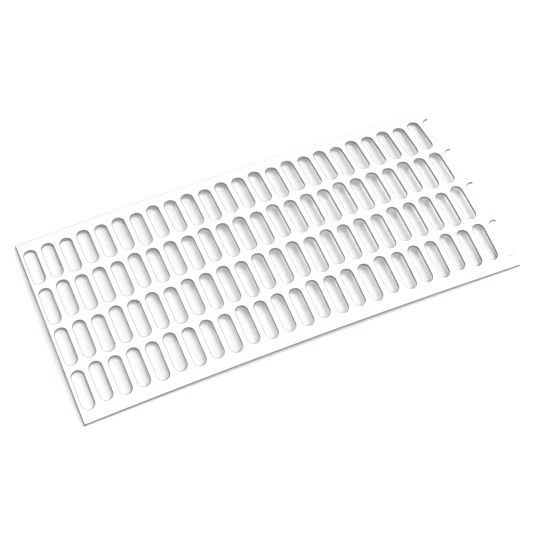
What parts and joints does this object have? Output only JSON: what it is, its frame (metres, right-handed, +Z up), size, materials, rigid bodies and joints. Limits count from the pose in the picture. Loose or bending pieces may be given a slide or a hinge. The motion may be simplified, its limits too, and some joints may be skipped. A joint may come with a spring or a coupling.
{
  "type": "queen excluder",
  "caption": "Thin domed plastic sheet punched with rows of round-ended slots that let worker bees through and hold the queen back.",
  "frame": {"origin": "under the middle of the sheet, level with the corners that it rests on", "axes": "+X along the sheet from its square end to its slanted end, +Y from the front edge to the back edge, +Z up, the side that domes out"},
  "size_m": [0.155, 0.0706, 0.0062],
  "materials": {
    "sheet_plastic": "satin white, slightly translucent"
  },
  "bodies": {
    "root": {"slotted_sheet": "sheet_plastic"}
  },
  "joints": []
}
